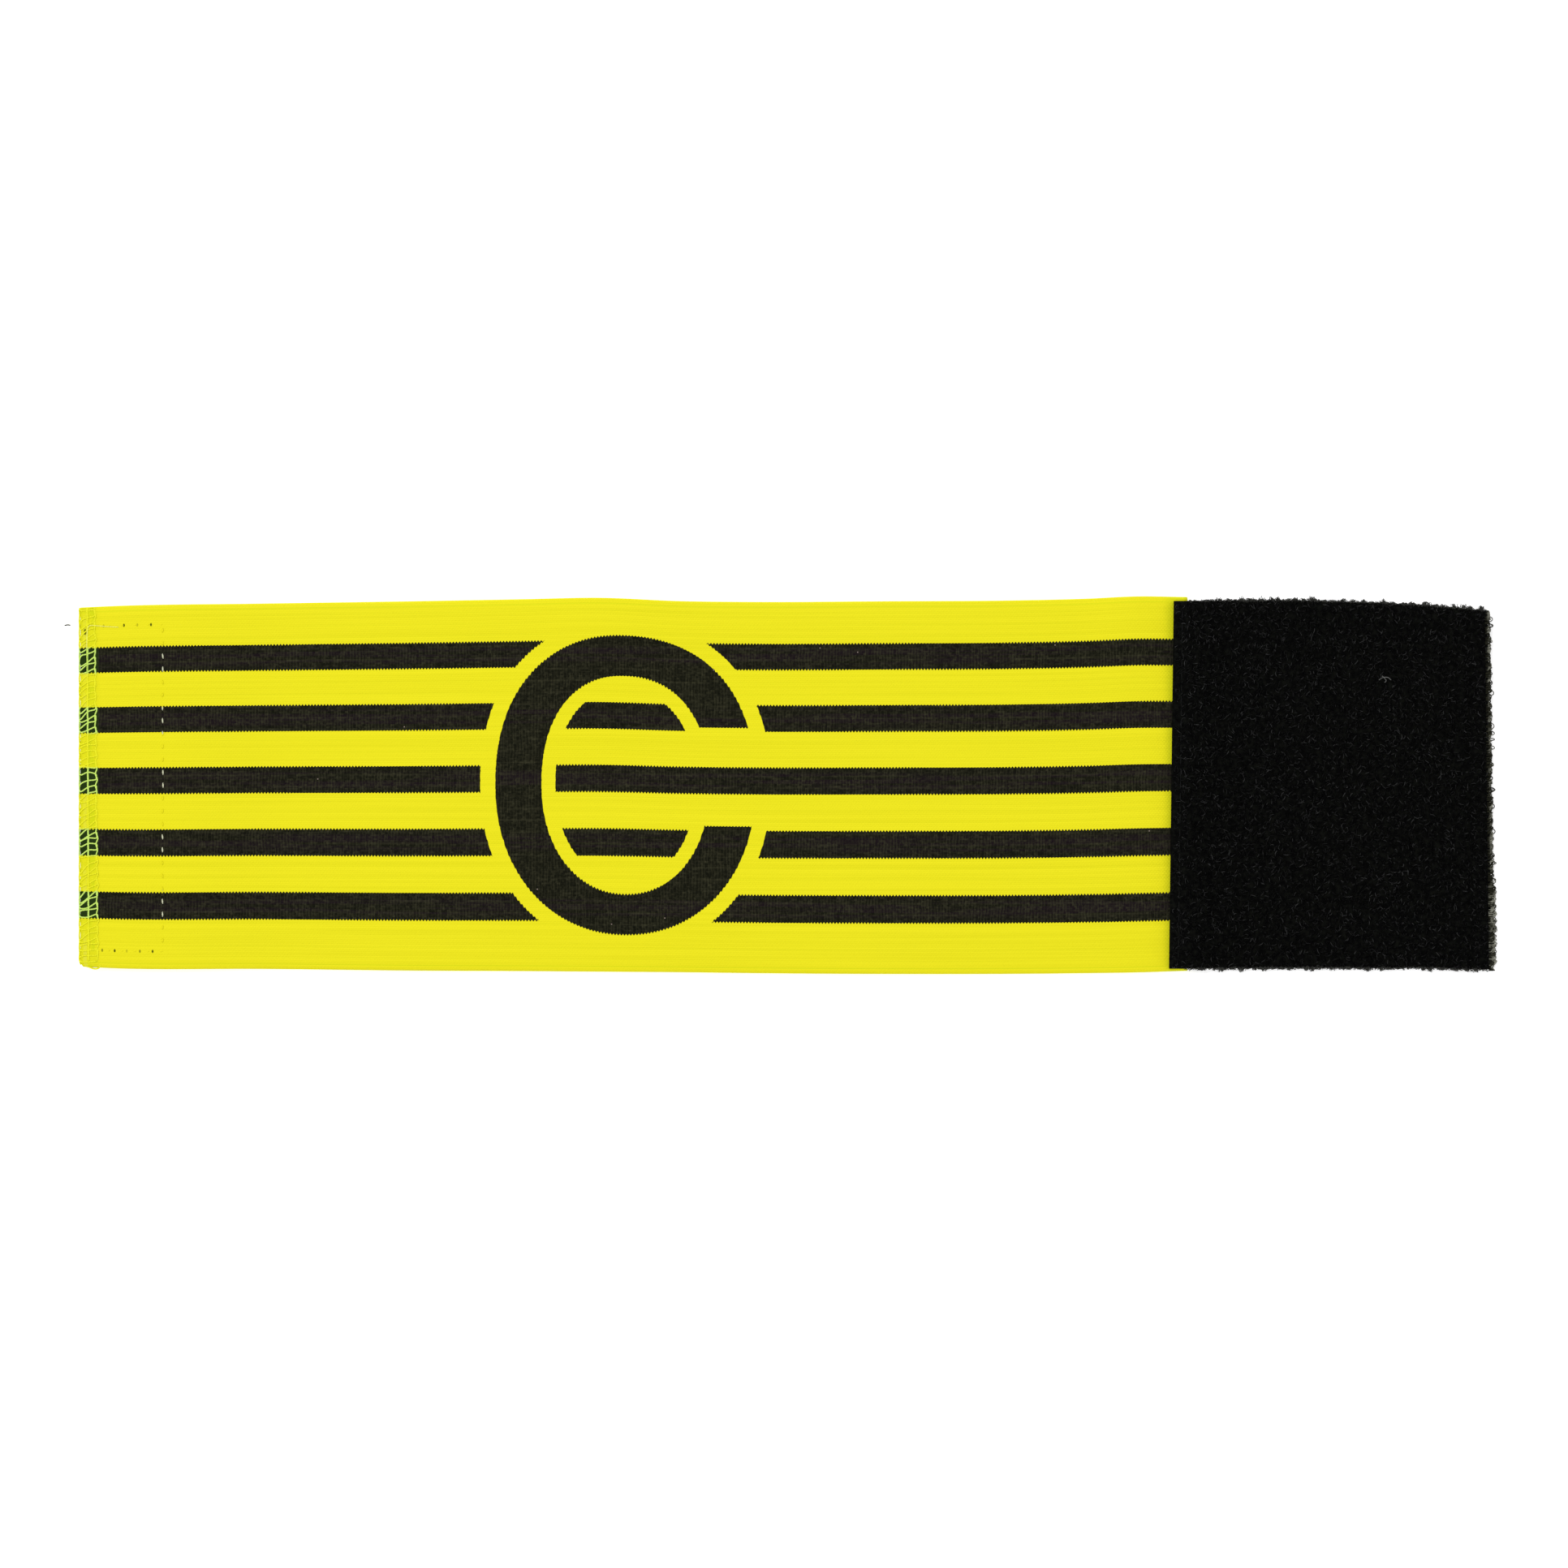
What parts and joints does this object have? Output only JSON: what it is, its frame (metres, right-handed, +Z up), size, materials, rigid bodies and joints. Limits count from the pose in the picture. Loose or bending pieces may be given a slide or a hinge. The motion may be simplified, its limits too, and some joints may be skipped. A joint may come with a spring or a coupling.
{
  "type": "captain armband",
  "caption": "Flat elastic captain armband with printed stripes and a letter in a keyline, a hook patch behind one end and a sewn-on loop panel at the other, lying undone.",
  "frame": {"origin": "middle of the armband's outline, on the surface that it lies on", "axes": "+X along the armband from the overlocked end to the loop panel, +Y across it towards the top edge of the letter, +Z up out of the printed face"},
  "size_m": [0.3062, 0.0816, 0.0037],
  "materials": {
    "elastic_yellow": "woven elastic webbing, matte",
    "print_black": "ink printed on the webbing, matte",
    "hook_black": "nylon hook tape, slightly glossy",
    "thread_lime": "polyester overlock thread",
    "loop_black": "brushed loop pile, matte",
    "thread_dark": "polyester overlock thread"
  },
  "bodies": {
    "root": {"band": "elastic_yellow", "stripe_1_left": "print_black", "stripe_1_right": "print_black", "stripe_2_left": "print_black", "stripe_2_inner": "print_black", "stripe_2_right": "print_black", "stripe_3_left": "print_black", "stripe_3_right": "print_black", "stripe_4_left": "print_black", "stripe_4_inner": "print_black", "stripe_4_right": "print_black", "stripe_5_left": "print_black", "stripe_5_right": "print_black", "letter_c": "print_black", "hook_patch": "hook_black", "end_overlock": "thread_lime", "loop_panel": "loop_black", "panel_overlock": "thread_dark"}
  },
  "joints": []
}
